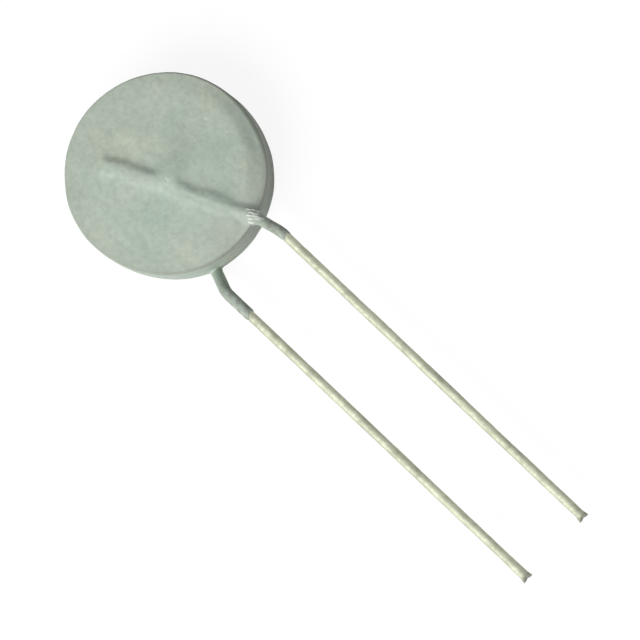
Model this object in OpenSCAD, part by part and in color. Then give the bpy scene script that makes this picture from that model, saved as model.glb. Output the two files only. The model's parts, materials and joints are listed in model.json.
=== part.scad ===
// Disc thermistor of the positive temperature coefficient kind, with two radial leads.
// A ceramic disc has a metal layer and a soldered wire across each face. The whole is
// dipped in a pale resin, which drapes over the wires and runs a little way down both leads.
// The disc lies on its back face with its leads along +X. All sizes are in millimetres.

/* [Ceramic disc] */
// Diameter of the sintered ceramic disc
ceramic_d = 11.7; // [8:0.1:16]
// Thickness of the ceramic disc
ceramic_t = 2.9; // [1.5:0.1:5]
// Chamfer on both edges of the ceramic disc
ceramic_edge = 0.12; // [0.05:0.01:0.3]

/* [Electrodes] */
// Thickness of the metal layer on each face
electrode_t = 0.03; // [0.01:0.01:0.1]
// Width of the bare ceramic ring around each electrode
electrode_margin = 0.35; // [0.1:0.05:1]

/* [Lead wires] */
// Diameter of the tinned wire
wire_d = 0.6; // [0.5:0.05:0.8]
// Distance between the two straight leads, centre to centre
lead_pitch = 5; // [2.5:0.1:7.5]
// Sideways shift of the pair of leads from the middle of the disc
lead_shift = -0.25; // [-0.6:0.05:0.6]
// Length of the leads past the coated rim
lead_reach = 27.2; // [10:0.1:40]
// Inside radius of every bend in the wires
bend_inside = 0.5; // [0.4:0.05:0.8]
// Distance from the coated rim to the knee, where a lead is back at mid thickness
step_run = 1.35; // [1:0.05:2.5]
// Angle between the leg on the front face and the leads
front_leg_angle = 23; // [10:1:35]
// How far the front leg passes the middle of the disc, sideways
front_leg_miss = -0.65; // [-0.8:0.05:0.8]
// Length of the front leg beyond the middle of the disc
front_leg_overrun = 3.4; // [2:0.1:4.5]
// Angle between the leg on the back face and the leads
back_leg_angle = 22; // [10:1:35]
// How far the back leg passes the middle of the disc, sideways
back_leg_miss = 0; // [-0.8:0.05:0.8]
// Length of the back leg beyond the middle of the disc
back_leg_overrun = 3.4; // [2:0.1:4.5]
// Length of wire that the cutters pinched at each tip
nip_length = 0.4; // [0.2:0.05:0.8]
// How far the pinched tip spreads sideways past the wire
nip_flare = 0.07; // [0.02:0.01:0.15]
// Thickness left at the cut edge of each tip
nip_edge = 0.18; // [0.08:0.02:0.4]

/* [Solder] */
// Solder between the wire and the electrode under it
solder_film = 0.03; // [0.01:0.01:0.08]
// Radius of the hollow solder fillet along each side of the wire
solder_fillet = 0.3; // [0.15:0.05:0.5]
// Solder over the wire at the top of the mound
solder_cover = 0.1; // [0.05:0.01:0.15]
// Radius of the solder mound at its foot
solder_mound_r = 1.6; // [1:0.1:2.5]
// Place of the mound along the leg, from the middle of the disc
solder_mound_at = 0.65; // [-1:0.05:1]

/* [Dip coating] */
// Coating on the flat of each face
coat_face = 0.35; // [0.25:0.05:0.5]
// Coating around the rim of the ceramic disc
coat_rim = 0.35; // [0.2:0.05:0.6]
// Rounding of the coated rim
coat_round = 0.38; // [0.2:0.02:0.6]
// Coating over the wires on the two faces
ridge_film = 0.1; // [0.06:0.02:0.2]
// Radius of the hollow where the coating climbs from the face to a wire
ridge_fillet = 0.3; // [0.15:0.05:0.5]
// How much wider the coated mound is than the solder in it
mound_spread = 0.8; // [0.4:0.1:1.2]
// Coating around the bend where a wire leaves the face
lump_film = 0.2; // [0.16:0.01:0.25]
// Coating around the front lead past its knee
front_sheath_film = 0.06; // [0.03:0.01:0.2]
// Coating around the back lead past its knee
back_sheath_film = 0.15; // [0.03:0.01:0.2]
// Length of the front lead that the run-down covers past the knee's bend
front_rundown = 0.6; // [0.4:0.1:4]
// Length of the back lead that the run-down covers past the knee's bend
back_rundown = 2.0; // [0.4:0.1:4]
// Share of its thickness that a run-down loses on the way to its feathered end
rundown_thinning = 0.25; // [0.1:0.05:0.5]
// Length over which a run-down thins out to nothing
feather_length = 0.35; // [0.1:0.05:0.4]
// Coating left at the very end of a run-down
feather_film = 0.02; // [0.01:0.01:0.03]

/* [Hidden] */
$fn = 64;

FRONT = 1;
BACK = -1;

// Coarseness of the drawn outlines
CREST_STEPS = 7;
FILLET_STEPS = 5;
MOUND_STEPS = 10;

// Draped shapes start this deep under their face, and their feet run out just below it
ROOT_DEPTH = 0.15;
SKIRT = 0.01;

// How far inside the wire the solder's fillets aim, so that they meet it at an angle
SOLDER_BITE = 0.04;

// Straight bars reach this far into their neighbours, and a bend is this much thicker
LAP = 0.03;
SWELL = 0.006;

ceramic_r = ceramic_d / 2;
electrode_r = ceramic_r - electrode_margin;
coat_r = ceramic_r + coat_rim;
coat_z = ceramic_t / 2 + coat_face;
metal_z = ceramic_t / 2 + electrode_t;
wire_r = wire_d / 2;
bend_r = bend_inside + wire_r;
seat_z = metal_z + solder_film + wire_r;
ridge_r = wire_r + ridge_film;
lump_r = wire_r + lump_film;
mound_r = solder_mound_r + mound_spread;
solder_mound_h = solder_film + wire_d + solder_cover;
mound_h = metal_z + solder_mound_h + ridge_film - coat_z;

// Radius at which the two arms of the first bend would meet, just clear of the ceramic
brow_r = ceramic_r + bend_r / 2;

// A leg is the straight wire on a face. It lies on a line near the middle of the disc.
function leg_angle(side) = side == FRONT ? front_leg_angle : -back_leg_angle;
function leg_miss(side) = side == FRONT ? front_leg_miss : back_leg_miss;
function leg_overrun(side) = side == FRONT ? front_leg_overrun : back_leg_overrun;
function leg_way(side) = [cos(leg_angle(side)), sin(leg_angle(side)), 0];
function on_leg(side, along) = [0, leg_miss(side), side * seat_z] + along * leg_way(side);

// Distance along the leg's line to the place where it crosses a circle about the disc's axis
function leg_to_radius(side, r) =
    let (miss = leg_miss(side), lean = miss * sin(leg_angle(side)))
    sqrt(lean * lean - miss * miss + r * r) - lean;

// The four corners of a wire, from its end on the face to its tip
function lead_y(side) = lead_shift + side * lead_pitch / 2;
function foot(side) = on_leg(side, -leg_overrun(side));
function brow(side) = on_leg(side, leg_to_radius(side, brow_r));
function knee(side) = [coat_r + step_run, lead_y(side), 0];
function nip(side) = [coat_r + lead_reach - nip_length, lead_y(side), 0];

// A bend at corner b between a and c: its angle, and where its arc starts and ends
function unit(v) = v / norm(v);
function bend_angle(a, b, c) = acos(unit(b - a) * unit(c - b));
function setback(a, b, c) = bend_r * tan(bend_angle(a, b, c) / 2);
function bend_start(a, b, c) = b - unit(b - a) * setback(a, b, c);
function bend_end(a, b, c) = b + unit(c - b) * setback(a, b, c);

function brow_start(side) = bend_start(foot(side), brow(side), knee(side));
function brow_end(side) = bend_end(foot(side), brow(side), knee(side));
function knee_start(side) = bend_start(brow(side), knee(side), nip(side));
function knee_end(side) = bend_end(brow(side), knee(side), nip(side));

function sheath_film(side) = side == FRONT ? front_sheath_film : back_sheath_film;
function sheath_r(side) = wire_r + sheath_film(side);
function thinned_r(side) = wire_r + sheath_film(side) * (1 - rundown_thinning);
function rundown(side) = side == FRONT ? front_rundown : back_rundown;

// The part stands on the highest thing on its back face
base_z = max(seat_z + ridge_r, seat_z + lump_r, coat_z + mound_h);

// Half outline of a skin draped over a round wire: an arc on the wire, then a hollow
// fillet down to the face. crest_z is the height of the wire's middle over the face.
function draped_half(crest_r, crest_z, fillet_r) =
    let (
        rise = fillet_r - SKIRT - crest_z,
        reach = sqrt(pow(crest_r + fillet_r, 2) - rise * rise),
        touch = atan2(rise, reach)
    )
    concat(
        [for (i = [0 : CREST_STEPS])
            let (a = 90 + (touch - 90) * i / CREST_STEPS)
            [crest_r * cos(a), crest_z + crest_r * sin(a)]],
        [for (i = [1 : FILLET_STEPS])
            let (a = 180 + touch + (90 - touch) * i / FILLET_STEPS)
            [reach + fillet_r * cos(a), fillet_r - SKIRT + fillet_r * sin(a)]]
    );

// Half outline of a low mound whose foot runs out level with the face
function mound_half(r, h) = [
    for (i = [0 : MOUND_STEPS])
        let (share = i / MOUND_STEPS)
        [r * share, (h + SKIRT) * (1 + cos(180 * share)) / 2 - SKIRT]
];

// A half outline closed down the middle, and a whole one, both rooted below the face
function rooted_half(half) =
    concat(half, [[half[len(half) - 1].x, -ROOT_DEPTH], [0, -ROOT_DEPTH]]);
function rooted_whole(half) =
    let (foot_x = half[len(half) - 1].x)
    concat(
        [[-foot_x, -ROOT_DEPTH]],
        [for (i = [len(half) - 1 : -1 : 1]) [-half[i].x, half[i].y]],
        half,
        [[foot_x, -ROOT_DEPTH]]
    );

// The point a little past b, on the way there from a
function past(a, b, distance) = b + unit(b - a) * distance;

// A straight round bar or cone between two points
module bar(a, b, r1, r2) {
    way = b - a;
    translate(a)
        rotate([0, acos(way.z / norm(way)), atan2(way.y, way.x)])
            cylinder(h = norm(way), r1 = r1, r2 = r2);
}

// The curved stretch of a round bar of radius r at corner b
module elbow(a, b, c, r) {
    into = unit(b - a);
    out = unit(c - b);
    inward = unit(out - into * (into * out));
    axis = cross(into, inward);
    centre = bend_start(a, b, c) + inward * bend_r;
    multmatrix([
        [-inward.x, into.x, axis.x, centre.x],
        [-inward.y, into.y, axis.y, centre.y],
        [-inward.z, into.z, axis.z, centre.z],
        [0, 0, 0, 1]
    ])
        rotate_extrude(angle = bend_angle(a, b, c))
            translate([bend_r, 0])
                circle(r);
}

// Places things on a face at height z, with x along that face's leg
module on_face(side, z) {
    translate([0, leg_miss(side), side * z])
        rotate([0, 0, leg_angle(side)])
            mirror([0, 0, side == FRONT ? 0 : 1])
                children();
}

// A skin draped along a leg, from a place beside the wire's foot to just into the first bend
module draped_leg(side, half, from_foot) {
    start = from_foot - leg_overrun(side);
    length = norm(brow_start(side) - foot(side)) - from_foot + 2 * LAP;
    translate([start, 0, 0])
        rotate([90, 0, 90])
            linear_extrude(length)
                polygon(rooted_whole(half));
}

// The round end of a draped skin, about the wire's foot
module draped_end(side, half) {
    translate([-leg_overrun(side), 0, 0])
        rotate([0, 0, 90])
            rotate_extrude(angle = 180)
                polygon(rooted_half(half));
}

module mound(r, h) {
    translate([solder_mound_at, 0, 0])
        rotate_extrude()
            polygon(rooted_half(mound_half(r, h)));
}

// The whole wire, with its pinched tip
module lead_wire(side) {
    bar(foot(side), past(foot(side), brow_start(side), LAP), wire_r, wire_r);
    elbow(foot(side), brow(side), knee(side), wire_r + SWELL);
    bar(
        past(knee_start(side), brow_end(side), LAP),
        past(brow_end(side), knee_start(side), LAP),
        wire_r,
        wire_r
    );
    elbow(brow(side), knee(side), nip(side), wire_r + SWELL);
    bar(past(nip(side), knee_end(side), LAP), past(knee_end(side), nip(side), LAP), wire_r, wire_r);
    nipped_tip(side);
}

// Side cutters leave a blunt edge: the wire is flattened one way and spread the other
module nipped_tip(side) {
    spread_per_mm = nip_flare / nip_length;
    translate(nip(side))
        intersection() {
            translate([-LAP, 0, 0])
                rotate([0, 90, 0])
                    cylinder(
                        h = nip_length + LAP,
                        r1 = wire_r - spread_per_mm * LAP,
                        r2 = wire_r + nip_flare
                    );
            rotate([90, 0, 0])
                linear_extrude(2 * wire_d, center = true)
                    polygon([
                        [-2 * LAP, wire_d],
                        [-2 * LAP, -wire_d],
                        [0, -wire_d],
                        [nip_length, -nip_edge / 2],
                        [nip_length, nip_edge / 2],
                        [0, wire_d]
                    ]);
        }
}

// Solder as it wets the electrode, with no room cut for the wire
module solder_mass(side) {
    fillets = draped_half(wire_r - SOLDER_BITE, seat_z - metal_z, solder_fillet);
    intersection() {
        on_face(side, metal_z) {
            draped_leg(side, fillets, wire_r / 2);
            mound(solder_mound_r, solder_mound_h);
        }
        mirror([0, 0, side == FRONT ? 0 : 1])
            translate([0, 0, metal_z])
                cylinder(h = solder_mound_h + wire_d, r = electrode_r);
    }
}

module solder_joint(side) {
    color("silver")
        difference() {
            solder_mass(side);
            lead_wire(side);
        }
}

module electrode(side) {
    color([0.80, 0.79, 0.75])
        translate([0, 0, side == FRONT ? ceramic_t / 2 : -metal_z])
            cylinder(h = electrode_t, r = electrode_r);
}

module ceramic_disc() {
    color([0.36, 0.31, 0.28])
        rotate_extrude()
            polygon([
                [0, -ceramic_t / 2],
                [ceramic_r - ceramic_edge, -ceramic_t / 2],
                [ceramic_r, ceramic_edge - ceramic_t / 2],
                [ceramic_r, ceramic_t / 2 - ceramic_edge],
                [ceramic_r - ceramic_edge, ceramic_t / 2],
                [0, ceramic_t / 2]
            ]);
}

// The coated disc without its wires: flat faces and a rounded rim
module coated_disc() {
    rotate_extrude() {
        translate([0, -coat_z])
            square([coat_r - coat_round, 2 * coat_z]);
        translate([0, coat_round - coat_z])
            square([coat_r, 2 * (coat_z - coat_round)]);
        for (end = [FRONT, BACK])
            translate([coat_r - coat_round, end * (coat_z - coat_round)])
                circle(coat_round);
    }
}

// Coating on one wire: the ridge and mound on the face, the lump over the first bend,
// and the run-down along the lead, which tapers and then thins out to a feather edge
module coated_wire(side) {
    sheath = sheath_r(side);
    skin = draped_half(ridge_r, seat_z - coat_z, ridge_fillet);
    feather_at = knee_end(side) + [rundown(side) - feather_length, 0, 0];
    on_face(side, coat_z) {
        draped_leg(side, skin, 0);
        draped_end(side, skin);
        mound(mound_r, mound_h);
    }
    elbow(foot(side), brow(side), knee(side), lump_r);
    bar(
        past(knee_start(side), brow_end(side), LAP),
        past(brow_end(side), knee_start(side), LAP),
        lump_r - SWELL,
        sheath
    );
    elbow(brow(side), knee(side), nip(side), sheath + SWELL);
    bar(past(nip(side), knee_end(side), LAP), feather_at, sheath, thinned_r(side));
    bar(
        feather_at - [LAP, 0, 0],
        feather_at + [feather_length, 0, 0],
        thinned_r(side) - SWELL,
        wire_r + feather_film
    );
}

module coating() {
    color([0.68, 0.73, 0.67])
        difference() {
            union() {
                coated_disc();
                coated_wire(FRONT);
                coated_wire(BACK);
            }
            ceramic_disc();
            for (side = [FRONT, BACK]) {
                electrode(side);
                solder_mass(side);
                lead_wire(side);
            }
        }
}

module front_electrode() electrode(FRONT);
module back_electrode() electrode(BACK);
module front_solder() solder_joint(FRONT);
module back_solder() solder_joint(BACK);
module front_lead() color([0.75, 0.75, 0.62]) lead_wire(FRONT);
module back_lead() color([0.75, 0.75, 0.62]) lead_wire(BACK);

// Puts the origin under the middle of the whole part, on the surface it lies on
module placed() {
    translate([-lead_reach / 2, 0, base_z])
        children();
}

placed() coating();
placed() ceramic_disc();
placed() front_electrode();
placed() back_electrode();
placed() front_solder();
placed() back_solder();
placed() front_lead();
placed() back_lead();
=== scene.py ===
"""Looks of a dip-coated disc thermistor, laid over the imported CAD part.

Shapes are worked out in millimetres about the middle of the disc, with +X along the
leads, +Y towards the front lead and +Z out of the front face. They are moved into the
row frame, in metres, when they become meshes.
"""

import json
import math

import bpy
import numpy as np
from bpy.props import FloatProperty, FloatVectorProperty, PointerProperty
from mathutils import Matrix, Vector

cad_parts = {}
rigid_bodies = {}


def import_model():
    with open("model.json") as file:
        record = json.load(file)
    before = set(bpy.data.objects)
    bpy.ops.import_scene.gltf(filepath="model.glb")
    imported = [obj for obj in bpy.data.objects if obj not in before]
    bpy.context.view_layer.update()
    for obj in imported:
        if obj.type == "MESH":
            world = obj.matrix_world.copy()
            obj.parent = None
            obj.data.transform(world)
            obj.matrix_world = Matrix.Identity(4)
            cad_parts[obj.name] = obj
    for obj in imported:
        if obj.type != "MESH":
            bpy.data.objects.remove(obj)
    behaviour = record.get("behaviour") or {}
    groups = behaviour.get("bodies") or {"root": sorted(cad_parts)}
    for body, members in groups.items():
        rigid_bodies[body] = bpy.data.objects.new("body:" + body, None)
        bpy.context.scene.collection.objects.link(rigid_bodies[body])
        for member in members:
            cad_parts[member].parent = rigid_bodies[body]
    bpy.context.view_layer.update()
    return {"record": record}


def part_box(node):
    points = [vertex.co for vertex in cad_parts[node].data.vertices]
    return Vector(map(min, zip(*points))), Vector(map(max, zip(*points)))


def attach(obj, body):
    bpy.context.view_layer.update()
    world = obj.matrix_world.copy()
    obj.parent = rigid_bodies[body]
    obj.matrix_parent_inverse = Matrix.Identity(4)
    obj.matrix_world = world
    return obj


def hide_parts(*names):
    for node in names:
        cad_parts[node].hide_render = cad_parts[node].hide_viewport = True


bl_info = {
    "name": "Disc thermistor looks",
    "version": (1, 0, 0),
    "blender": (4, 5, 0),
    "location": "3D View > Sidebar > Thermistor",
    "description": "Dipped resin skin, tinned leads and a plain studio for a disc thermistor",
    "category": "Object",
}

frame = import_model()

MM = 0.001
FRONT = 1
BACK = -1
SIDE_NAME = {FRONT: "front", BACK: "back"}


def middle_mm(node):
    """Middle of a CAD node's box, in millimetres."""
    lo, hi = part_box(node)
    return (np.array(lo) + np.array(hi)) / 2 / MM


DISC_AT = middle_mm("ceramic_disc")
PINS = {m["name"]: m for m in frame["record"]["mounts"]}
WIRE_R = PINS["front_lead_pin"]["dims"]["r_mm"]
LEAD_Y = {
    FRONT: PINS["front_lead_pin"]["pos_m"][1] / MM,
    BACK: PINS["back_lead_pin"]["pos_m"][1] / MM,
}
COAT_R = DISC_AT[0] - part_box("coating")[0][0] / MM
TIP_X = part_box("front_lead")[1][0] / MM - DISC_AT[0]

# The wires' route, with the same numbers as in the CAD part
# Heights of the coated face and of a wire on it, over the disc's middle
COAT_Z = 1.8
SEAT_Z = 1.81
# Radius of every bend, and how far from the disc's axis a leg turns down
BEND_R = 0.8
BROW_R = 6.25
# Where a lead is back at mid thickness
KNEE_X = COAT_R + 1.35
# A leg's length beyond the disc's middle, its angle to the leads, and how far it passes the middle
LEG_OVERRUN = 3.4
LEG_ANGLE = {FRONT: 23, BACK: -22}
LEG_MISS = {FRONT: -0.65, BACK: 0.0}
# Place of the solder mound along a leg
MOUND_AT = 0.65
# Points on each bend, for drawing and for measuring distances
ARC_STEPS = 25
COARSE_STEPS = 9

# The skin starts this far inside the CAD's, and its relief stands up from there
INSET = 0.03
# Faint rings round the rim, left as the disc was drawn out of the dip
RING_HEIGHT = 0.006
RING_PITCH = 0.62
# Radius of the lump at each brow, film on the lead past it, and how far the lump takes to shrink
LUMP_R = {FRONT: 0.43, BACK: 0.38}
SHEATH_FILM = {FRONT: 0.025, BACK: 0.06}
LUMP_SHRINK = {FRONT: 0.3, BACK: 1.0}
# How widely the resin climbs to the wire, at the start and the end of each brow
BROW_CLIMB = {FRONT: (0.4, 0.35), BACK: (0.2, 0.12)}
# How ragged each run-down's end is, and the length over which it thins out
RAGGED = {FRONT: 0.4, BACK: 0.16}
TAPER = {FRONT: 0.5, BACK: 0.22}

# Rays inside the disc start this far in from its rim and its faces
RAY_INSET = 0.45
# Lengths of the rays from inside the disc and from a wire's axis, and where the latter start
DISC_REACH = 2.4
WIRE_REACH = 0.74
WIRE_START = 0.2
# Most steps along a ray, share of the field taken by each, and what is close enough
MARCH_STEPS = 60
MARCH_SHARE = 0.85
MARCH_CLOSE = 2e-4
# Columns round the disc, and where they crowd: share of a turn, width and strength. They
# crowd at both exits and at the foot of the front leg.
DISC_COLUMNS = 500
COLUMN_PEAKS = [(17.5 / 360, 0.025, 1.6), (338 / 360, 0.025, 1.6), (212 / 360, 0.02, 0.6)]

# Columns round the run-downs and the leads, and the distance between their rows
RUNDOWN_COLUMNS = 128
RUNDOWN_STEP = 0.035
LEAD_COLUMNS = 48
LEAD_STEP = 0.085
# A lead is this much thinner than the CAD's, so that its dents stay inside
DENT_ROOM = 0.006

# The nipped tips: their length, spread to each side, half thickness and hollow at the cut
NIP = 0.4
NIP_SPREAD = 0.066
NIP_HALF = 0.085
NIP_HOLLOW = 0.06

# The photograph's camera in degrees: its lean off the disc's axis, the heading and the turn
VIEW_TILT = 13.0
VIEW_HEADING = 14.6
VIEW_ROLL = 28.5
# How far the disc stands to the left of and above the middle of the picture
DISC_LEFT = 9.19
DISC_UP = 8.76
# Where the key light stands as seen in the picture, left and down, and its angle off the view
KEY_LEFT = 0.62
KEY_DOWN = 0.78
KEY_OFF_VIEW = 47
# Half the width of the table, in metres
TABLE_HALF = 0.6


# Small maths


def linear(hex_colour):
    """sRGB hex to linear RGB: the standard curve, a straight foot and then a 2.4 power."""
    parts = [int(hex_colour[i : i + 2], 16) / 255 for i in (1, 3, 5)]
    return tuple(c / 12.92 if c <= 0.04045 else ((c + 0.055) / 1.055) ** 2.4 for c in parts)


def ease(x, lo, hi):
    """0 below lo, 1 above hi, and a smooth cubic step between."""
    t = np.clip((x - lo) / (hi - lo), 0, 1)
    return t * t * (3 - 2 * t)


def blend_min(a, b, reach):
    """The lesser of two distances, rounded off where they differ by less than reach."""
    h = np.maximum(reach - np.abs(a - b), 0) / reach
    return np.minimum(a, b) - h * h * reach / 4


def ripple(p, wavelength, seed, waves=14):
    """Smooth noise, mostly from -1 to 1: a sum of sine waves of about one wavelength.

    Each wave has a random direction, start and share of the wavelength.
    """
    rng = np.random.default_rng(seed)
    way = rng.normal(size=(waves, p.shape[1]))
    way /= np.linalg.norm(way, axis=1, keepdims=True)
    count = 2 * math.pi / (wavelength * rng.uniform(0.75, 1.35, waves))
    total = np.sin(p @ (way * count[:, None]).T + rng.uniform(0, 2 * math.pi, waves))
    return total.sum(axis=1) / math.sqrt(waves * 2)


# The wires' route


def on_leg(side, along):
    """A point on the straight wire across a face, at a distance along its line."""
    a = math.radians(LEG_ANGLE[side])
    return np.array(
        [along * math.cos(a), LEG_MISS[side] + along * math.sin(a), side * SEAT_Z]
    )


def corners(side):
    """Foot, brow, knee and tip of one wire. The brow stands where the leg crosses BROW_R."""
    miss = LEG_MISS[side]
    lean = miss * math.sin(math.radians(LEG_ANGLE[side]))
    brow_along = math.sqrt(lean * lean - miss * miss + BROW_R * BROW_R) - lean
    return [
        on_leg(side, -LEG_OVERRUN),
        on_leg(side, brow_along),
        np.array([KNEE_X, LEAD_Y[side], 0.0]),
        np.array([TIP_X, LEAD_Y[side], 0.0]),
    ]


def rounded_route(points, bend_r, steps):
    """A line through corners, each rounded by an arc of radius bend_r that touches both sides."""
    route = [points[0]]
    for a, b, c in zip(points[:-2], points[1:-1], points[2:]):
        into = (b - a) / np.linalg.norm(b - a)
        out = (c - b) / np.linalg.norm(c - b)
        turn = math.acos(float(into @ out))
        start = b - into * bend_r * math.tan(turn / 2)
        inward = out - into * (into @ out)
        inward /= np.linalg.norm(inward)
        t = np.linspace(0, turn, steps)[:, None]
        route.extend(start + bend_r * (np.sin(t) * into + (1 - np.cos(t)) * inward))
    route.append(points[-1])
    return np.array(route)


def stations(route):
    """Distance along a line of points, at each point."""
    return np.r_[0, np.cumsum(np.linalg.norm(np.diff(route, axis=0), axis=1))]


class Wire:
    """One wire's route, and a frame of two directions across it at any station."""

    def __init__(self, side):
        self.side = side
        self.route = rounded_route(corners(side), BEND_R, ARC_STEPS)
        self.at = stations(self.route)
        self.coarse = rounded_route(corners(side), BEND_R, COARSE_STEPS)
        self.coarse_at = stations(self.coarse)
        self.brow_start = self.at[1]
        self.brow_end = self.at[ARC_STEPS]
        self.knee_start = self.at[ARC_STEPS + 1]
        self.knee_end = self.at[2 * ARC_STEPS]
        self.length = self.at[-1]

    def point(self, s):
        """Points at the stations, on straight lines between the route's points."""
        return np.stack([np.interp(s, self.at, self.route[:, i]) for i in range(3)], axis=1)

    def across(self, s):
        """Level direction and upward direction, both square to the wire."""
        ahead = 0.02
        along = self.point(s + ahead) - self.point(s - ahead)
        # The ends have no route on one side
        along[s > self.length - 0.03] = (1, 0, 0)
        along[s < 0.03] = self.route[1] - self.route[0]
        along /= np.linalg.norm(along, axis=1, keepdims=True)
        level = np.cross((0, 0, 1), along)
        level /= np.linalg.norm(level, axis=1, keepdims=True)
        return level, np.cross(along, level)

    def near(self, p, last_station):
        """Least distance from each point to the route's straight pieces, and the station there."""
        best = np.full(len(p), 1e9)
        where = np.zeros(len(p))
        for a, b, sa, sb in zip(self.coarse, self.coarse[1:], self.coarse_at, self.coarse_at[1:]):
            if sa >= last_station:
                break
            if sb > last_station:
                b = a + (b - a) * (last_station - sa) / (sb - sa)
                sb = last_station
            ab = b - a
            t = np.clip((p - a) @ ab / (ab @ ab), 0, 1)
            gap = np.linalg.norm(p - a - t[:, None] * ab, axis=1)
            closer = gap < best
            best = np.where(closer, gap, best)
            where = np.where(closer, sa + t * (sb - sa), where)
        return best, where


WIRES = {side: Wire(side) for side in (FRONT, BACK)}


# The dipped skin as one field of distance


def leg_place(p, side):
    """Places along and across the leg's line on one face."""
    a = math.radians(LEG_ANGLE[side])
    x = p[:, 0]
    y = p[:, 1] - LEG_MISS[side]
    return x * math.cos(a) + y * math.sin(a), y * math.cos(a) - x * math.sin(a)


def fall(x, middle, width):
    """A smooth step down from 1 to 0 about the middle: a hyperbolic tangent."""
    return 0.5 * (1 - np.tanh((x - middle) / width))


def relief(p, side, resin):
    """How far the resin stands over the plain swollen face beside one wire.

    A roof falls off exponentially on both sides of the leg. On one side the resin sagged
    against the wire and lies almost level with it. On the other side it drained, which
    leaves a step down, sharp along the leg and broad over the solder and past the foot.
    A bead follows the wire on the sagged side, and a bell stands over the solder. All
    lengths below are millimetres along and across the leg.
    """
    along, across = leg_place(p, side)
    plateau = ease(along, -LEG_OVERRUN - 1.8, -LEG_OVERRUN + 0.2)
    foot = 1 - fall(along, -LEG_OVERRUN - 0.1, 0.15)
    solder = np.exp(-(((along - MOUND_AT) / 0.68) ** 4))
    leaving = ease(along, 5.1, 6.1)
    # The line of the step wanders in a slow wave, and turns off at the foot and at the exit
    wander = 0.06 * np.sin(1.9 * along + 0.4) - 0.2 * fall(along, -2.5, 0.5) + 0.25 * leaving
    sharp = fall(across, 0.42 + wander, 0.25)
    broad = fall(across, 0.5, 1.6)
    drained = broad + (sharp - broad) * foot * (1 - solder)
    # The bead is lumpy, and ends before the exit
    lump = 1 + 0.3 * np.sin(2.7 * along) * np.sin(1.1 * along + 1)
    bead_side = 1 - fall(across, -0.55 + wander, 0.18)
    bead = resin.bead / MM * lump * bead_side * foot * fall(along, 4.9, 0.6)
    # The step is deeper before the solder, shallow at the exit, and fades away from the leg
    depth = 1 + 0.3 * fall(along, 0.6, 0.5) - 0.85 * leaving
    step = resin.step / MM * depth * np.exp(-np.maximum(-across, 0) / 3) * plateau
    share = np.minimum(np.hypot(p[:, 0], p[:, 1]) / COAT_R, 1)
    ridge = resin.roof / MM + resin.swell / MM * share**2
    roof = ridge * np.exp(-(np.hypot(across, 0.35) - 0.35) / 2.5) * plateau
    # The mound falls off more slowly on the drained side
    reach = np.where(across < 0.6, 0.9, 2.3)
    mound = resin.mound / MM * np.exp(-((along - MOUND_AT) ** 2) - ((across - 0.6) / reach) ** 2)
    return roof + (step + bead) * drained + mound


def one_side(p, middle, power):
    """1 where the disc's angle is the middle one, 0 on the far side: a raised cosine to a power."""
    return ((1 + np.cos(np.arctan2(p[:, 1], p[:, 0]) - middle)) / 2) ** power


def face_height(p, resin):
    """Height of both faces over the middle plane: a swell by a parabola, and the relief.

    Near the rim the front face falls over a smooth shoulder on one side, less so at the leg.
    """
    r = np.hypot(p[:, 0], p[:, 1])
    lift = np.where(p[:, 2] > 0, relief(p, FRONT, resin), relief(p, BACK, resin))
    drop = resin.shoulder / MM * one_side(p, 0.9, 4) * ease(r, COAT_R - 1.1, COAT_R + 0.2)
    _, across = leg_place(p, FRONT)
    drop = np.where(p[:, 2] > 0, drop * (1 - 0.7 * np.exp(-((across / 1.1) ** 2))), 0)
    return COAT_Z - INSET + resin.swell / MM * (1 - (r / COAT_R) ** 2) + lift - drop


def rim_radius(p, resin):
    """Radius of the rim: slow waves of its angle, and a flare to the front on one side."""
    angle = np.arctan2(p[:, 1], p[:, 0])
    wander = 0.5 * np.sin(2 * angle + 0.6) + 0.35 * np.sin(3 * angle + 2.1)
    wander += 0.3 * np.sin(5 * angle + 4.0) + 0.15 * np.sin(9 * angle + 1.0)
    flare = resin.flare / MM * one_side(p, 0.35, 2) * ease(p[:, 2], -1.2, 1.5)
    return COAT_R - INSET + resin.rim_wander / MM * wander + flare


def dipped_disc(p, resin):
    """Distance to the coated disc without wires: a round box with a rounded edge.

    The edge is rounder on one side, where the resin was thin. The rim has faint rings.
    """
    r = np.hypot(p[:, 0], p[:, 1])
    angle = np.arctan2(p[:, 1], p[:, 0])
    rings = RING_HEIGHT * np.sin(2 * math.pi * p[:, 2] / RING_PITCH + 1.5 * np.sin(2 * angle))
    edge = resin.edge_radius / MM * (1 + 2.2 * np.exp(-(((angle - 1.3) / 0.35) ** 2)))
    out = r - (rim_radius(p, resin) + rings - edge)
    up = np.abs(p[:, 2]) - (face_height(p, resin) - edge)
    outside = np.hypot(np.maximum(out, 0), np.maximum(up, 0))
    return outside + np.minimum(np.maximum(out, up), 0) - edge


def skin_radius(wire, s):
    """Radius of the resin about a wire at the stations, on straight lines between knots.

    It is thin on the face, thickest at the brow and thin again on the lead.
    """
    lump = LUMP_R[wire.side]
    sheath = WIRE_R + SHEATH_FILM[wire.side]
    knots = [
        (0, 0.33),
        (wire.brow_start - 0.7, 0.34),
        (wire.brow_start + 0.1, lump),
        (wire.brow_end, (lump + sheath) / 2 - 0.01),
        (wire.brow_end + LUMP_SHRINK[wire.side], sheath + 0.01),
    ]
    return np.interp(s, *zip(*knots))


def meniscus(wire, s):
    """How widely the resin climbs to the wire: crisp along the leg, wider at the brow."""
    knots = [0, wire.brow_start - 1.2, wire.brow_start, wire.brow_end]
    return np.interp(s, knots, [0.06, 0.1, *BROW_CLIMB[wire.side]])


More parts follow.
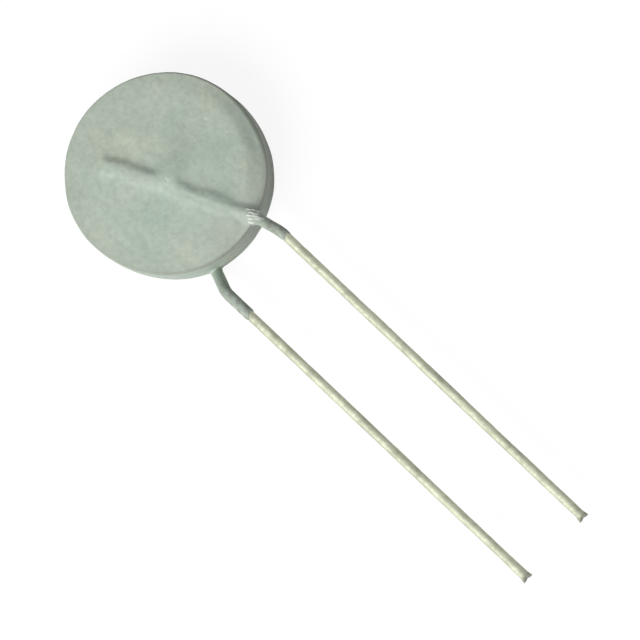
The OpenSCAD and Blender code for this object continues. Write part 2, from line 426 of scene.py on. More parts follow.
# Creep marks at the front brow: start and end along the leg's line, and place across it at both
CREEP_MARKS = [
    (6.0, 6.54, 0.25, 0.37),
    (6.62, 6.82, 0.38, 0.34),
    (6.2, 6.8, 0.11, 0.19),
    (6.48, 7.12, 0.0, 0.06),
    (6.16, 6.5, -0.08, -0.05),
    (6.34, 6.62, -0.3, -0.18),
    (6.66, 7.02, -0.14, -0.03),
    (6.38, 6.74, -0.48, -0.4),
]


def creep_marks(p, width):
    """Small raised marks where the resin crept at the front brow: 1 on their crests.

    Each mark is a bell across the leg's line with smooth ends, and waves a little sideways.
    """
    along, across = leg_place(p, FRONT)
    wave = 0.015 * np.sin(17 * along) + 0.01 * np.sin(41 * along + 2)
    marks = np.zeros(len(p))
    for start, end, left, right in CREEP_MARKS:
        share = np.clip((along - start) / (end - start), 0, 1)
        off = across - wave - left - (right - left) * share
        ends = ease(along, start - 0.05, start + 0.05) * (1 - ease(along, end - 0.08, end + 0.04))
        marks = np.maximum(marks, np.exp(-((off / width) ** 2)) * ends)
    return marks * ease(p[:, 2], 0.6, 1.2)


def skin(p, resin, last_station=None, marks=False):
    """Distance to the whole dipped skin: disc and both coated wires, melted together.

    The wires end at last_station past their brows. Waves of two lengths, and the creep
    marks where they are asked for, move the surface up and down.
    """
    d = dipped_disc(p, resin)
    for side, wire in WIRES.items():
        last = wire.length if last_station is None else wire.brow_end + last_station
        gap, s = wire.near(p, last)
        coated = gap - skin_radius(wire, s)
        d = blend_min(d, coated, meniscus(wire, s))
        if marks and side == FRONT:
            d = d - resin.marks / MM * creep_marks(p, 0.05)
    uneven = resin.unevenness / MM
    return d + uneven * ripple(p, 3.1, 4) + 0.3 * uneven * ripple(p, 0.9, 9)


def march(origin, way, start, far, field):
    """Distance along each ray of a grid to the field's zero, as a grid.

    Each step takes a share of the field's own value, until all are close enough.
    """
    grid = way.shape[:2]
    origin = origin.reshape(-1, 3)
    way = way.reshape(-1, 3)
    t = np.full(len(origin), float(start))
    for _ in range(MARCH_STEPS):
        d = field(origin + t[:, None] * way)
        t = np.clip(t - MARCH_SHARE * d, 0.0, far)
        if np.abs(d[(t > 0) & (t < far)]).max(initial=0) < MARCH_CLOSE:
            break
    return t.reshape(grid)


# Meshes


def grid_faces(rows, columns):
    """Quads of a grid that closes on itself from the last column to the first."""
    r, c = np.meshgrid(np.arange(rows - 1), np.arange(columns), indexing="ij")
    n = (c + 1) % columns
    this = r * columns
    following = this + columns
    return np.stack([this + c, this + n, following + n, following + c], -1).reshape(-1, 4)


def closed_object(name, points, poles, node, material):
    """A closed skin from rows of points round an axis, with a pole point at each end.

    Each row runs anticlockwise as seen from the last row, so that the faces point outwards.
    """
    rows, columns = points.shape[:2]
    verts = np.concatenate([points.reshape(-1, 3), poles])
    c = np.arange(columns)
    n = (c + 1) % columns
    first = rows * columns
    last_row = first - columns
    quads = grid_faces(rows, columns)
    first_cap = np.stack([np.full(columns, first), n, c], 1)
    last_cap = np.stack([np.full(columns, first + 1), last_row + c, last_row + n], 1)
    loops = np.concatenate([quads.ravel(), first_cap.ravel(), last_cap.ravel()])
    sizes = np.r_[np.full(len(quads), 4), np.full(2 * columns, 3)]
    mesh = bpy.data.meshes.new(name)
    mesh.vertices.add(len(verts))
    mesh.vertices.foreach_set("co", ((verts + DISC_AT) * MM).ravel())
    mesh.loops.add(len(loops))
    mesh.loops.foreach_set("vertex_index", loops.astype(np.int32))
    mesh.polygons.add(len(sizes))
    mesh.polygons.foreach_set("loop_start", np.r_[0, np.cumsum(sizes)[:-1]].astype(np.int32))
    mesh.update(calc_edges=True)
    mesh.validate()
    mesh.shade_smooth()
    mesh.materials.append(material)
    obj = bpy.data.objects.new(name, mesh)
    bpy.context.scene.collection.objects.link(obj)
    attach(obj, "root")
    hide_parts(node)
    return obj


def set_attribute(obj, name, values):
    """Stores one number per vertex for the material to read."""
    layer = obj.data.attributes.new(name, "FLOAT", "POINT")
    layer.data.foreach_set("value", values.astype(np.float32))


def face_patch(p, along_at, across_at, width):
    """A round bell on the front face, placed in the leg's directions: 1 at its middle."""
    along, across = leg_place(p, FRONT)
    off = np.hypot(along - along_at, across - across_at)
    return np.where(p[:, 2] > 0, np.exp(-((off / width) ** 2)), 0)


def thin_film_and_shade(p, resin):
    """Thin resin and painted shade, from 0 to 1: the greatest of four parts.

    They are a bell about both edges of the disc, thin resin that is heavier on one side,
    where it is painted shade; painted shade on the wall on the side turned from the key
    light; and two round patches of painted shade on the front face, at the brow and below it.
    """
    r = np.hypot(p[:, 0], p[:, 1])
    off = np.hypot(r - rim_radius(p, resin) + 0.03, np.abs(p[:, 2]) - face_height(p, resin) + 0.04)
    # The edge bell is darker on one side of the rim: painted shade
    strength = 0.12 + 0.65 * one_side(p, -0.15, 3) + 0.1 * ripple(p, 0.9, 77)
    edges = np.exp(-((off / 0.12) ** 2)) * strength
    # Painted shade on the wall on the side turned from the key light
    wall = 0.5 * one_side(p, 1.4, 3) * ease(r, COAT_R - 0.2, COAT_R)
    # Painted shade: two patches that darken the front face at the brow, on its lit side, and below it
    brow = 0.35 * face_patch(p, 6.0, -0.6, 0.6)
    below = 0.22 * face_patch(p, 5.3, -2.0, 1.3)
    return np.maximum.reduce([edges, wall, brow, below])


def painted_light_above_brow(p):
    """Painted light: a pale place above the front brow, on the ridge's shaded side, as a faint creep
    value.
    """
    return 0.22 * face_patch(p, 5.95, 0.55, 0.45)


# Painted glints: pale spots on the front face, placed in the plane of the disc
GLINT_SPOTS = [(-0.38, 4.16), (-0.23, 4.23), (1.19, 4.5), (0.47, -0.09), (0.65, -0.11)]


def painted_glints(p):
    """Painted glints on the front face: 0.6 at their middles, falling off by a bell of 0.05 mm."""
    found = np.zeros(len(p))
    for x, y in GLINT_SPOTS:
        off = np.hypot(p[:, 0] - x, p[:, 1] - y)
        found = np.maximum(found, np.where(p[:, 2] > 0, np.exp(-((off / 0.05) ** 2)), 0))
    return 0.6 * found


def crowded(count, peaks):
    """Places from 0 to 1, closer together about each peak of (place, width, strength).

    The running sum of a density of 1 plus a bell for each peak is read backwards.
    """
    u = np.linspace(0, 1, 4001)
    density = np.ones_like(u)
    for place, width, strength in peaks:
        off = (u - place + 0.5) % 1 - 0.5
        density += strength * np.exp(-((off / width) ** 2))
    share = np.cumsum(density)
    share = (share - share[0]) / (share[-1] - share[0])
    return np.interp(np.arange(count) / count, share, u)


def disc_rows():
    """Rays that meet the coated disc: origins and directions, by profile row and angle.

    The rows run from the middle of the front face over the rim to the middle of the
    back face. On the faces the rays are upright. Round each edge they fan out from a
    circle inside the edge, closest together where they meet it. Most columns stand
    where the leads leave the disc.
    """
    inner_r = COAT_R - RAY_INSET
    inner_z = COAT_Z - RAY_INSET
    # Most rows are on the front face and its edge, which the photograph shows
    front = np.linspace(0.06, inner_r, 66, endpoint=False)
    back = np.linspace(0.06, inner_r, 44, endpoint=False)[::-1]
    fan = math.pi / 2 * (1 - crowded(30, [(0.5, 0.16, 2.0)]))
    turn = math.pi / 2 * (1 - crowded(16, [(0.5, 0.2, 1.0)]))
    wall = np.linspace(inner_z, -inner_z, 22)
    parts = [
        (front, inner_z, math.pi / 2),
        (inner_r, inner_z, fan),
        (inner_r, wall, 0),
        (inner_r, -inner_z, -turn[::-1]),
        (back, -inner_z, -math.pi / 2),
    ]
    rows = np.concatenate([np.stack(np.broadcast_arrays(*part), -1) for part in parts])
    rad, high, tilt = np.split(rows, 3, axis=1)
    angle = 2 * math.pi * crowded(DISC_COLUMNS, COLUMN_PEAKS)
    cos = np.cos(angle)
    sin = np.sin(angle)
    one = np.ones(DISC_COLUMNS)
    origin = np.stack([rad * cos, rad * sin, high * one], -1)
    way = np.stack([np.cos(tilt) * cos, np.cos(tilt) * sin, np.sin(tilt) * one], -1)
    return origin, way


def coated_disc(resin, material):
    """The skin of the disc and of both ridges, found along rays from inside the disc.

    It ends half a millimetre before the brows do, where the run-downs cover it.
    """
    origin, way = disc_rows()
    t = march(origin, way, DISC_REACH, DISC_REACH, lambda p: skin(p, resin, last_station=-0.5))
    # Turned round, because the rows run downwards
    points = (origin + t[:, :, None] * way)[:, ::-1]
    poles = np.array([[0, 0, points[0, :, 2].mean()], [0, 0, points[-1, :, 2].mean()]])
    obj = closed_object("coating_skin", points, poles, "coating", material)
    verts = np.concatenate([points.reshape(-1, 3), poles])
    # Painted glints and painted light above the brow, as pale colour
    set_attribute(obj, "creep", np.maximum(painted_glints(verts), painted_light_above_brow(verts)))
    # Thin resin, with painted shade on one side of the rim and on patches of the front face
    set_attribute(obj, "thin", thin_film_and_shade(verts, resin))
    outer = ease(np.hypot(verts[:, 0], verts[:, 1]), 3.6, COAT_R) * ease(np.abs(verts[:, 2]), 1.2, 1.6)
    set_attribute(obj, "edge", 0.3 * outer)
    return obj


def rundown(side, resin, material):
    """The skin about one wire from just before the brow to the end of the run-down.

    At each station the radius is where a ray from the wire's axis leaves the skin. It is
    held under a limit inside the disc, and dives into the wire at an uneven end.
    """
    wire = WIRES[side]
    covered = {FRONT: resin.front_rundown, BACK: resin.back_rundown}[side] / MM
    start = wire.brow_start - 1.0
    end = wire.knee_end + covered
    s = np.arange(start, end + 0.5, RUNDOWN_STEP)
    phi = np.linspace(0, 2 * math.pi, RUNDOWN_COLUMNS, endpoint=False)
    level, up = wire.across(s)
    axis = wire.point(s)
    way = np.cos(phi)[None, :, None] * level[:, None] + np.sin(phi)[None, :, None] * up[:, None]
    origin = np.broadcast_to(axis[:, None], way.shape)
    t = march(origin, way, WIRE_START, WIRE_REACH, lambda p: skin(p, resin, marks=True)).ravel()
    station = np.repeat(s, len(phi))
    turn = np.tile(phi, len(s))
    ring = np.stack([np.cos(turn), np.sin(turn), 0 * turn], 1)
    ragged = RAGGED[side] * ripple(ring, 2.2, 31 + side) + 0.06 * ripple(ring, 0.8, 5 + side)
    left = np.clip((end + ragged - station) / TAPER[side], 0, 1)
    bare = WIRE_R - INSET
    t = bare + (t - bare) * np.sqrt(1 - (1 - left) ** 2)
    # Just proud of the disc's skin, and sunk under it at the start and where the limit holds
    t += 0.003 - 0.07 * (1 - ease(station, start, start + 0.45)) - 0.08 * ease(t, 0.56, WIRE_REACH)
    points = origin + t.reshape(way.shape[:2])[:, :, None] * way
    poles = np.array([axis[0], axis[-1]])
    name = f"{SIDE_NAME[side]}_rundown"
    obj = closed_object(name, points, poles, "coating", material)
    verts = np.concatenate([points.reshape(-1, 3), poles])
    where = np.r_[station, s[0], s[-1]]
    creep = np.zeros(len(verts))
    # Thin resin, with painted shade from the disc's edges and face patches
    film = thin_film_and_shade(verts, resin)
    if side == FRONT:
        # Painted glints on the creep marks, and painted light above the brow
        creep = np.maximum(0.9 * creep_marks(verts, 0.045), painted_light_above_brow(verts))
        # Painted shade in the crevices about the creep marks
        painted_crevice_shade = 0.3 * creep_marks(verts, 0.14)
        sheath = 0.45 * ease(where, wire.brow_end + 0.1, wire.brow_end + 0.6)
        film = np.maximum(np.maximum(film, painted_crevice_shade), sheath * (0.85 + 0.9 * ripple(verts, 0.35, 12)))
    else:
        sheath = 0.4 * ease(where, wire.brow_end + 0.3, wire.knee_start + 0.5)
        film = np.maximum(film, sheath * (1 + 0.7 * ripple(verts, 0.4, 21)))
    set_attribute(obj, "creep", creep)
    set_attribute(obj, "thin", film)
    return obj


def lead(side, tin, material):
    """One tinned wire: a round tube with soft dents, pinched and spread at its tip.

    The tip narrows upright by a straight wedge, spreads sideways by a straight cone, and
    its cut edge is hollowed by a cosine.
    """
    wire = WIRES[side]
    nip_start = wire.length - NIP
    s = np.r_[np.arange(0.02, nip_start, LEAD_STEP), np.linspace(nip_start, wire.length, 14)]
    phi = np.linspace(0, 2 * math.pi, LEAD_COLUMNS, endpoint=False)
    level, up = wire.across(s)
    axis = wire.point(s)
    turn = np.tile(phi, len(s))
    station = np.repeat(s, len(phi))
    along = np.stack([np.cos(turn), np.sin(turn), station * 0.45], 1)
    fine = np.stack([np.cos(turn), np.sin(turn), station * 1.1], 1)
    dent = tin.dents / MM * (ripple(along, 1.5, 60 + side) + 0.5 * ripple(fine, 0.9, 80 + side))
    pinch = np.clip((station - nip_start) / NIP, 0, 1)
    radius = WIRE_R - DENT_ROOM + dent * (1 - pinch)
    wide = (radius + NIP_SPREAD * pinch) * np.cos(turn)
    limit = 2 * WIRE_R * (1 - pinch) + NIP_HALF * pinch
    tall = np.clip(radius * np.sin(turn), -limit, limit)
    hollow = NIP_HOLLOW * pinch**3 * np.cos(np.clip(wide / 0.2, -1, 1) * math.pi / 2) ** 2
    grid = (len(s), len(phi), 1)
    points = axis[:, None] + wide.reshape(grid) * level[:, None] + tall.reshape(grid) * up[:, None]
    points[:, :, 0] -= hollow.reshape(grid)[:, :, 0]
    poles = np.array([axis[0], axis[-1] - (NIP_HOLLOW, 0, 0)])
    name = f"{SIDE_NAME[side]}_wire"
    obj = closed_object(name, points, poles, f"{SIDE_NAME[side]}_lead", material)
    far = np.r_[station, s[0], s[-1]]
    set_attribute(obj, "cut", ease(far, nip_start, wire.length - 0.1))
    return obj


# Materials


def add_node(tree, kind, settings=None, inputs=None, links=None, stops=()):
    """Adds a node with its fields, input values and links from (node, output) pairs.

    A colour ramp takes its stops as (place, linear colour) pairs.
    """
    node = tree.nodes.new(kind)
    for key, value in (settings or {}).items():
        setattr(node, key, value)
    for key, value in (inputs or {}).items():
        node.inputs[key].default_value = value
    for key, (source, output) in (links or {}).items():
        tree.links.new(source.outputs[output], node.inputs[key])
    for index, (place, colour) in enumerate(stops):
        band = node.color_ramp.elements
        element = band[index] if index < 2 else band.new(place)
        element.position = place
        element.color = (*colour[:3], 1)
    return node


def new_material(name):
    """A material with an empty node tree."""
    material = bpy.data.materials.new(name)
    material.use_nodes = True
    material.node_tree.nodes.clear()
    return material, material.node_tree


def per_spot(spot_mm):
    """Noise scale on coordinates in metres whose blobs measure about spot_mm."""
    return 1 / (2 * spot_mm * MM)


def dipped_resin(resin):
    """Grey-green epoxy, dipped and cured: nearly matt, clouded, with a soft orange peel."""
    material, tree = new_material("dipped_epoxy_resin")
    place = add_node(tree, "ShaderNodeTexCoord")
    cloud, patch, grain, peel = (
        add_node(
            tree,
            "ShaderNodeTexNoise",
            inputs={"Scale": per_spot(spot_mm), "Detail": detail, "Roughness": roughness},
            links={"Vector": (place, "Object")},
        )
        for spot_mm, detail, roughness in (
            # Clouds, where the dip is thicker or thinner
            (1.5, 3.0, 0.55),
            # Patches where it dried
            (0.8, 2.0, 0.5),
            # Mineral filler, drawn coarser than its real 0.05 mm so that it shows
            (0.17, 5.0, 0.65),
            # Orange peel
            (0.3, 2.0, 0.5),
        )
    )
    tint = add_node(
        tree,
        "ShaderNodeValToRGB",
        links={"Fac": (cloud, "Fac")},
        stops=[(0.3, resin.cool_colour), (0.7, resin.warm_colour), (0.5, resin.body_colour)],
    )
    # A drier, browner tone near the rim
    edge = add_node(tree, "ShaderNodeAttribute", {"attribute_name": "edge"})
    dry = add_node(
        tree,
        "ShaderNodeMath",
        {"operation": "MULTIPLY"},
        links={0: (edge, "Fac"), 1: (patch, "Fac")},
    )
    filler = add_node(
        tree,
        "ShaderNodeMapRange",
        inputs={"From Min": 0.38, "From Max": 0.64, "To Min": 0.0, "To Max": 0.4},
        links={"Value": (grain, "Fac")},
    )
    # Thin resin lets the dark ceramic and the metal show through, and the same colour is painted shade
    # on one side of the rim and on patches of the front face
    thin = add_node(tree, "ShaderNodeAttribute", {"attribute_name": "thin"})
    # Pale colour: painted glints on the creep marks and on small spots of the front face, and painted
    # light above the front brow
    creep = add_node(tree, "ShaderNodeAttribute", {"attribute_name": "creep"})
    # Each tone is laid over the ones before it
    colour = (tint, "Color")
    for share, tone in (
        ((dry, "Value"), resin.dry_colour),
        ((filler, "Result"), resin.grain_colour),
        ((thin, "Fac"), resin.thin_film_and_shade_colour),
        ((creep, "Fac"), resin.painted_light_colour),
    ):
        laid = add_node(
            tree,
            "ShaderNodeMix",
            {"data_type": "RGBA"},
            inputs={"B": (*tone, 1)},
            links={"Factor": share, "A": colour},
        )
        colour = (laid, "Result")
    # A satin that varies with the clouds
    gloss = add_node(
        tree,
        "ShaderNodeMapRange",
        inputs={"From Min": 0.3, "From Max": 0.7, "To Min": 0.54, "To Max": 0.68},
        links={"Value": (cloud, "Fac")},
    )
    fine = add_node(
        tree,
        "ShaderNodeBump",
        inputs={"Strength": 0.3, "Distance": 0.01 * MM},
        links={"Height": (grain, "Fac")},
    )
    bump = add_node(
        tree,
        "ShaderNodeBump",
        inputs={"Strength": 0.6, "Distance": 0.04 * MM},
        links={"Height": (peel, "Fac"), "Normal": (fine, "Normal")},
    )
    shader = add_node(
        tree,
        "ShaderNodeBsdfPrincipled",
        inputs={"IOR": 1.55, "Specular IOR Level": 0.35},
        links={
            "Base Color": colour,
            "Roughness": (gloss, "Result"),
            "Normal": (bump, "Normal"),
        },
    )
    add_node(tree, "ShaderNodeOutputMaterial", links={"Surface": (shader, "BSDF")})
    return material


def tinned_copper(tin):
    """Hot-tinned copper wire: dull, slightly yellow, with duller patches and frosted, dented tin."""
    material, tree = new_material("tinned_copper_wire")
    place = add_node(tree, "ShaderNodeTexCoord")
    # Duller and brighter tin, in patches of 0.5 mm
    patch = add_node(
        tree,
        "ShaderNodeTexNoise",
        inputs={"Scale": per_spot(0.5), "Detail": 4.0, "Roughness": 0.6},
        links={"Vector": (place, "Object")},
    )
    tone = add_node(
        tree,
        "ShaderNodeValToRGB",
        links={"Fac": (patch, "Fac")},
        stops=[(0.3, tin.dull_colour), (0.6, tin.bright_colour)],
    )
    # The nipped ends are darker grey towards the cut
    cut = add_node(tree, "ShaderNodeAttribute", {"attribute_name": "cut"})
    tip_darkening = add_node(
        tree,
        "ShaderNodeMath",
        {"operation": "MULTIPLY"},
        inputs={1: 0.6},
        links={0: (cut, "Fac")},
    )
    nipped = add_node(
        tree,
        "ShaderNodeMix",
        {"data_type": "RGBA"},
        inputs={"B": (*linear("#74736B"), 1)},
        links={"Factor": (tip_darkening, "Value"), "A": (tone, "Color")},
    )
    # Frosted crystals in the tin, drawn coarser than their real 0.03 mm so that they show
    frost = add_node(
        tree,
        "ShaderNodeTexNoise",
        inputs={"Scale": per_spot(0.13), "Detail": 3.0},
        links={"Vector": (place, "Object")},
    )
    rough = add_node(
        tree,
        "ShaderNodeMapRange",
        inputs={"From Min": 0.3, "From Max": 0.7, "To Min": 0.6, "To Max": 0.8},
        links={"Value": (frost, "Fac")},
    )
    bump = add_node(
        tree,
        "ShaderNodeBump",
        inputs={"Strength": 0.8, "Distance": 0.03 * MM},
        links={"Height": (frost, "Fac")},
    )
    # The dull oxide film scatters a tenth of the light
    shader = add_node(
        tree,
        "ShaderNodeBsdfPrincipled",
        inputs={"Metallic": 0.9},
        links={
            "Base Color": (nipped, "Result"),
            "Roughness": (rough, "Result"),
            "Normal": (bump, "Normal"),
        },
    )
    add_node(tree, "ShaderNodeOutputMaterial", links={"Surface": (shader, "BSDF")})
    return material


def cast_metal(name, dark, light, spot_mm, roughness):
    """A metal with two tones in blobs of spot_mm, and the same blobs as faint relief."""
    material, tree = new_material(name)
    place = add_node(tree, "ShaderNodeTexCoord")
    blobs = add_node(
        tree,
        "ShaderNodeTexNoise",
        inputs={"Scale": per_spot(spot_mm), "Detail": 3.0},
        links={"Vector": (place, "Object")},
    )
    tone = add_node(
        tree,
        "ShaderNodeValToRGB",
        links={"Fac": (blobs, "Fac")},
        stops=[(0.35, linear(dark)), (0.65, linear(light))],
    )
    bump = add_node(
        tree,
        "ShaderNodeBump",
        inputs={"Strength": 0.4, "Distance": 0.01 * MM},
        links={"Height": (blobs, "Fac")},
    )
    shader = add_node(
        tree,
        "ShaderNodeBsdfPrincipled",
        inputs={"Metallic": 1.0, "Roughness": roughness},
        links={"Base Color": (tone, "Color"), "Normal": (bump, "Normal")},
    )
    add_node(tree, "ShaderNodeOutputMaterial", links={"Surface": (shader, "BSDF")})
    return material


def sintered_titanate():
    """Sintered barium titanate ceramic: nearly black brown, matt, with fine open pores."""
    material, tree = new_material("sintered_titanate_ceramic")
    place = add_node(tree, "ShaderNodeTexCoord")
    body = add_node(
        tree,
        "ShaderNodeTexNoise",
        inputs={"Scale": per_spot(0.9), "Detail": 3.0},
        links={"Vector": (place, "Object")},
    )
    tone = add_node(
        tree,
        "ShaderNodeValToRGB",
        links={"Fac": (body, "Fac")},
        stops=[(0.35, linear("#4A4340")), (0.65, linear("#5E5550"))],
    )
    # Open pores, drawn coarser than their real 0.02 mm so that they show
    pores = add_node(
        tree,
        "ShaderNodeTexNoise",
        inputs={"Scale": per_spot(0.08), "Detail": 1.0},
        links={"Vector": (place, "Object")},
    )
    pit = add_node(
        tree,
        "ShaderNodeMapRange",
        inputs={"From Min": 0.38, "From Max": 0.3, "To Min": 0.0, "To Max": 0.8},
        links={"Value": (pores, "Fac")},
    )
    pitted = add_node(
        tree,
        "ShaderNodeMix",
        {"data_type": "RGBA"},
        inputs={"B": (*linear("#1E1917"), 1)},
        links={"Factor": (pit, "Result"), "A": (tone, "Color")},
    )
    shader = add_node(
        tree,
        "ShaderNodeBsdfPrincipled",
        inputs={"Roughness": 0.7},
        links={"Base Color": (pitted, "Result")},
    )
    add_node(tree, "ShaderNodeOutputMaterial", links={"Surface": (shader, "BSDF")})
    return material


def dress(node, material):
    """Gives a CAD node one material in place of its plain one."""
    obj = next(o for o in bpy.context.scene.objects if o.name == node or o.get("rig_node") == node)
    obj.data.materials.clear()
    obj.data.materials.append(material)


# Studio parts


def camera_axes():
    """Right, up and backward directions of the photograph's camera.

    The view leans off the disc's axis towards a heading from +X, and the picture is
    turned about the view.
    """
    tilt, heading, roll = (math.radians(a) for a in (VIEW_TILT, VIEW_HEADING, VIEW_ROLL))
    away = Vector((math.cos(heading), math.sin(heading), 0))
    cross = Vector((-math.sin(heading), math.cos(heading), 0))
    view = Vector(
        (math.sin(tilt) * math.cos(heading), math.sin(tilt) * math.sin(heading), math.cos(tilt))
    )
    away = (away - view * away.dot(view)).normalized()
    right = away * math.cos(roll) + cross * math.sin(roll)
    up = cross * math.cos(roll) - away * math.sin(roll)
    return right, up, view


def white_world(strength):
    """A dim white sky for light, and plain white where it is seen, mirrored or refracted."""
    world = bpy.data.worlds.new("sky")
    world.use_nodes = True
    tree = world.node_tree
    tree.nodes.clear()
    level = add_node(
        tree,
        "ShaderNodeMapRange",
        inputs={"To Min": strength, "To Max": 1.0},
        links={"Value": seen_directly(tree)},
    )
    sky = add_node(tree, "ShaderNodeBackground", links={"Strength": (level, "Result")})
    add_node(tree, "ShaderNodeOutputWorld", links={"Surface": (sky, "Background")})
    bpy.context.scene.world = world


def seen_directly(tree):
    """Nodes that give 1 to camera, glossy and transmission rays, and 0 to all others."""
    path = add_node(tree, "ShaderNodeLightPath")
    seen = (path, "Is Camera Ray")
    for ray in ("Is Glossy Ray", "Is Transmission Ray"):
        either = add_node(
            tree, "ShaderNodeMath", {"operation": "MAXIMUM"}, links={0: seen, 1: (path, ray)}
        )
        seen = (either, "Value")
    return seen


def floor_object():
    """A wide white table under the part.

    What is seen of it is mostly plain white, with a little lit paper that keeps the
    shadow. What it throws onto the part is the light of a mid grey table.
    """
    mesh = bpy.data.meshes.new("floor")
    half = TABLE_HALF
    corners_at = [(-half, -half, 0), (half, -half, 0), (half, half, 0), (-half, half, 0)]
    mesh.from_pydata(corners_at, [], [(0, 1, 2, 3)])
    material, tree = new_material("white_table")
    lit = add_node(tree, "ShaderNodeBsdfDiffuse", inputs={"Color": (0.5, 0.5, 0.5, 1)})
    white = add_node(tree, "ShaderNodeEmission", inputs={"Strength": 0.9})
    paper = add_node(tree, "ShaderNodeBsdfDiffuse", inputs={"Color": (0.13, 0.13, 0.13, 1)})
    shown = add_node(tree, "ShaderNodeAddShader", links={0: (white, 0), 1: (paper, 0)})
    both = add_node(
        tree,
        "ShaderNodeMixShader",
        links={0: seen_directly(tree), 1: (lit, 0), 2: (shown, 0)},
    )
    add_node(tree, "ShaderNodeOutputMaterial", links={"Surface": (both, 0)})
    mesh.materials.append(material)
    floor = bpy.data.objects.new("floor", mesh)
    bpy.context.scene.collection.objects.link(floor)


# Settings


class ResinSettings(bpy.types.PropertyGroup):
    """Sizes and colours of the dipped resin."""

    swell: FloatProperty(
        name="Swell",
        description="How much thicker each face is in the middle than at the rim",
        default=0.1 * MM,
        unit="LENGTH",
    )
    roof: FloatProperty(
        name="Roof",
        description="How far the resin is lifted beside the wires",
        default=0.1 * MM,
        unit="LENGTH",
    )
    step: FloatProperty(
        name="Step",
        description="Step down from the side that sagged",
        default=0.15 * MM,
        unit="LENGTH",
    )
    bead: FloatProperty(
        name="Bead",
        description="Height of the bead that follows the wire",
        default=0.055 * MM,
        unit="LENGTH",
    )
    marks: FloatProperty(
        name="Creep marks",
        description="Height of the marks at the front brow",
        default=0.04 * MM,
        unit="LENGTH",
    )
    mound: FloatProperty(
        name="Mound",
        description="Height of the mound over the solder",
        default=0.22 * MM,
        unit="LENGTH",
    )
    shoulder: FloatProperty(
        name="Shoulder",
        description="How far the face falls near the rim on the side of the leads",
        default=0.38 * MM,
        unit="LENGTH",
    )
    flare: FloatProperty(
        name="Flare",
        description="How far the front edge stands out on the side of the leads",
        default=0.22 * MM,
        unit="LENGTH",
    )
    edge_radius: FloatProperty(
        name="Edge radius",
        description="Rounding of the coated rim",
        default=0.09 * MM,
        unit="LENGTH",
    )
    rim_wander: FloatProperty(
        name="Rim wander",
        description="How far the rim strays from a circle",
        default=0.03 * MM,
        unit="LENGTH",
    )
    unevenness: FloatProperty(
        name="Unevenness",
        description="Height of the slow waves in the skin",
        default=0.02 * MM,
        unit="LENGTH",
    )
    front_rundown: FloatProperty(
        name="Front run-down",
        description="Resin on the front lead past its second bend",
        default=0.1 * MM,
        unit="LENGTH",
    )
    back_rundown: FloatProperty(
        name="Back run-down",
        description="Resin on the back lead past its second bend",
        default=1.8 * MM,
        unit="LENGTH",
    )
    body_colour: FloatVectorProperty(
        name="Body",
        description="Main colour of the resin",
        subtype="COLOR",
        default=linear("#B4C1B3"),
    )
    cool_colour: FloatVectorProperty(
        name="Cool clouds",
        description="Colour of the greener clouds",
        subtype="COLOR",
        default=linear("#ABBCAD"),
    )
    warm_colour: FloatVectorProperty(
        name="Warm clouds",
        description="Colour of the paler clouds",
        subtype="COLOR",
        default=linear("#BEC6B5"),
    )
    dry_colour: FloatVectorProperty(
        name="Dry patches",
        description="Colour of the patches near the rim",
        subtype="COLOR",
        default=linear("#B4B2A2"),
    )
    grain_colour: FloatVectorProperty(
        name="Filler",
        description="Colour of the mineral filler",
        subtype="COLOR",
        default=linear("#94A095"),
    )
    # Thin resin, and painted shade on one side of the rim and on patches of the front face
    thin_film_and_shade_colour: FloatVectorProperty(
        name="Thin film",
        description="Colour where the film is thin",
        subtype="COLOR",
        default=linear("#86867E"),
    )
    # Painted glints on the creep marks and spots of the front face, and painted light above the front
    # brow
    painted_light_colour: FloatVectorProperty(
        name="Creep marks",
        description="Colour of the pale marks at the front brow",
        subtype="COLOR",
        default=linear("#EEF1E9"),
    )


class TinSettings(bpy.types.PropertyGroup):
    """Relief and colours of the tinned wires."""

    dents: FloatProperty(
        name="Dents",
        description="Height of the dents in the tin",
        default=0.012 * MM,
        unit="LENGTH",
    )
    bright_colour: FloatVectorProperty(
        name="Bright tin",
        description="Colour of clean tin",
        subtype="COLOR",
        default=linear("#C6C9B5"),
    )
    dull_colour: FloatVectorProperty(
        name="Dull tin",
        description="Colour of dull patches",
        subtype="COLOR",
        default=linear("#AEB09C"),
    )


class StudioSettings(bpy.types.PropertyGroup):
    """Light and camera of the studio."""

    key: FloatProperty(
        name="Key",
        description="Share of the light from the key lamp",
        default=0.72,
        subtype="FACTOR",
    )
    sky: FloatProperty(
        name="Sky",
        description="Share of the light from all round",
        default=0.28,
        subtype="FACTOR",
    )
    key_angle: FloatProperty(
        name="Key softness",
        description="Angle that the key lamp fills",
        default=math.radians(50),
        subtype="ANGLE",
    )
    lens: FloatProperty(
        name="Lens",
        description="Focal length of the camera",
        default=1000.0,
        unit="CAMERA",
    )
    field: FloatProperty(
        name="Field",
        description="Width of the view at the disc",
        default=39.02 * MM,
        unit="LENGTH",
    )


# Operators


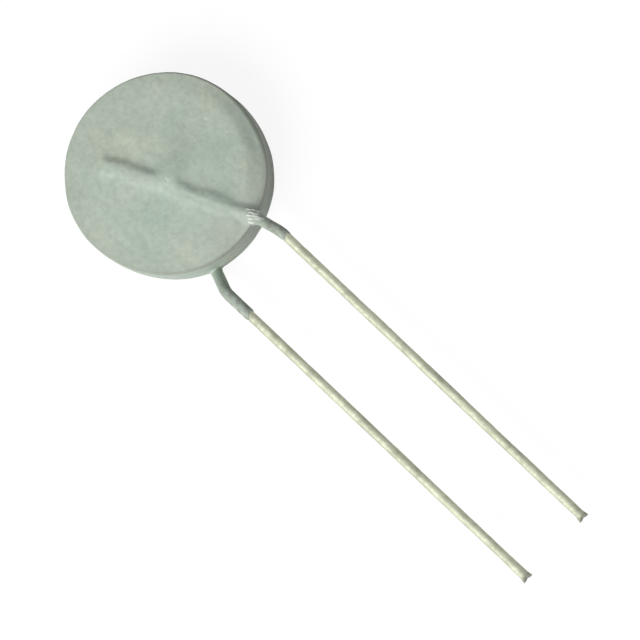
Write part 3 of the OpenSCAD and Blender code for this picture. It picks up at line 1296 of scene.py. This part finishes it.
class THERMISTOR_OT_studio(bpy.types.Operator):
    """Makes the camera, the white floor and the soft light from the picture's lower left"""

    bl_idname = "thermistor.studio"
    bl_label = "Studio"

    def execute(self, context):
        studio = context.scene.thermistor_studio
        right, up, view = camera_axes()
        disc = Vector(DISC_AT * MM)
        centre = disc + right * DISC_LEFT * MM - up * DISC_UP * MM
        data = bpy.data.cameras.new("camera")
        data.lens = studio.lens
        distance = studio.field * studio.lens / data.sensor_width
        data.clip_start = distance * 0.01
        data.clip_end = distance * 100
        camera = bpy.data.objects.new("camera", data)
        turned = Matrix((right, up, view)).transposed().to_4x4()
        camera.matrix_world = Matrix.Translation(centre + view * distance) @ turned
        context.scene.collection.objects.link(camera)
        context.scene.camera = camera
        context.scene.view_settings.view_transform = "Standard"

        off_view = math.radians(KEY_OFF_VIEW)
        key_way = (-right * KEY_LEFT - up * KEY_DOWN).normalized() * math.sin(off_view)
        key_way += view * math.cos(off_view)
        lamp = bpy.data.lights.new("key", "SUN")
        lamp.energy = studio.key * math.pi / key_way.z
        lamp.angle = studio.key_angle
        key = bpy.data.objects.new("key", lamp)
        key.rotation_mode = "QUATERNION"
        key.rotation_quaternion = key_way.to_track_quat("Z", "Y")
        context.scene.collection.objects.link(key)
        white_world(studio.sky)
        floor_object()
        return {"FINISHED"}


class THERMISTOR_OT_coating(bpy.types.Operator):
    """Makes the dipped skin of the disc and its run-downs on both leads"""

    bl_idname = "thermistor.coating"
    bl_label = "Dipped coating"

    def execute(self, context):
        resin = context.scene.thermistor_resin
        material = dipped_resin(resin)
        coated_disc(resin, material)
        rundown(FRONT, resin, material)
        rundown(BACK, resin, material)
        return {"FINISHED"}


class THERMISTOR_OT_leads(bpy.types.Operator):
    """Makes both tinned wires with their pinched tips"""

    bl_idname = "thermistor.leads"
    bl_label = "Tinned leads"

    def execute(self, context):
        tin = context.scene.thermistor_tin
        material = tinned_copper(tin)
        lead(FRONT, tin, material)
        lead(BACK, tin, material)
        return {"FINISHED"}


class THERMISTOR_OT_inside(bpy.types.Operator):
    """Gives the ceramic, its electrodes and the solder their materials"""

    bl_idname = "thermistor.inside"
    bl_label = "Ceramic and solder"

    def execute(self, context):
        dress("ceramic_disc", sintered_titanate())
        # Silver paste fired on is matt and warm. Solder froze as it flowed, and is brighter.
        silver = cast_metal("fired_silver_electrode", "#B9B5AC", "#D2CFC6", 0.1, 0.55)
        solder = cast_metal("tin_solder", "#A9ACAD", "#CDD0D0", 0.3, 0.3)
        for node in ("front_electrode", "back_electrode"):
            dress(node, silver)
        for node in ("front_solder", "back_solder"):
            dress(node, solder)
        return {"FINISHED"}


class THERMISTOR_PT_panel(bpy.types.Panel):
    """Lists the pieces of the thermistor"""

    bl_idname = "THERMISTOR_PT_panel"
    bl_label = "Disc thermistor"
    bl_space_type = "VIEW_3D"
    bl_region_type = "UI"
    bl_category = "Thermistor"

    def draw(self, context):
        for kind in OPERATORS:
            self.layout.operator(kind.bl_idname)
        scene = context.scene
        for group in (scene.thermistor_resin, scene.thermistor_tin, scene.thermistor_studio):
            box = self.layout.box()
            for key in group.__annotations__:
                box.prop(group, key)


OPERATORS = (THERMISTOR_OT_studio, THERMISTOR_OT_coating, THERMISTOR_OT_leads, THERMISTOR_OT_inside)
CLASSES = (ResinSettings, TinSettings, StudioSettings, *OPERATORS, THERMISTOR_PT_panel)


def register():
    """Registers the classes, and gives the scene its settings."""
    for kind in CLASSES:
        bpy.utils.register_class(kind)
    bpy.types.Scene.thermistor_resin = PointerProperty(type=ResinSettings)
    bpy.types.Scene.thermistor_tin = PointerProperty(type=TinSettings)
    bpy.types.Scene.thermistor_studio = PointerProperty(type=StudioSettings)


def unregister():
    """Takes the settings and the classes away again."""
    del bpy.types.Scene.thermistor_studio
    del bpy.types.Scene.thermistor_tin
    del bpy.types.Scene.thermistor_resin
    for kind in reversed(CLASSES):
        bpy.utils.unregister_class(kind)


def main():
    """Makes every piece."""
    register()
    bpy.ops.thermistor.studio()
    bpy.ops.thermistor.coating()
    bpy.ops.thermistor.leads()
    bpy.ops.thermistor.inside()


if __name__ == "__main__":
    main()
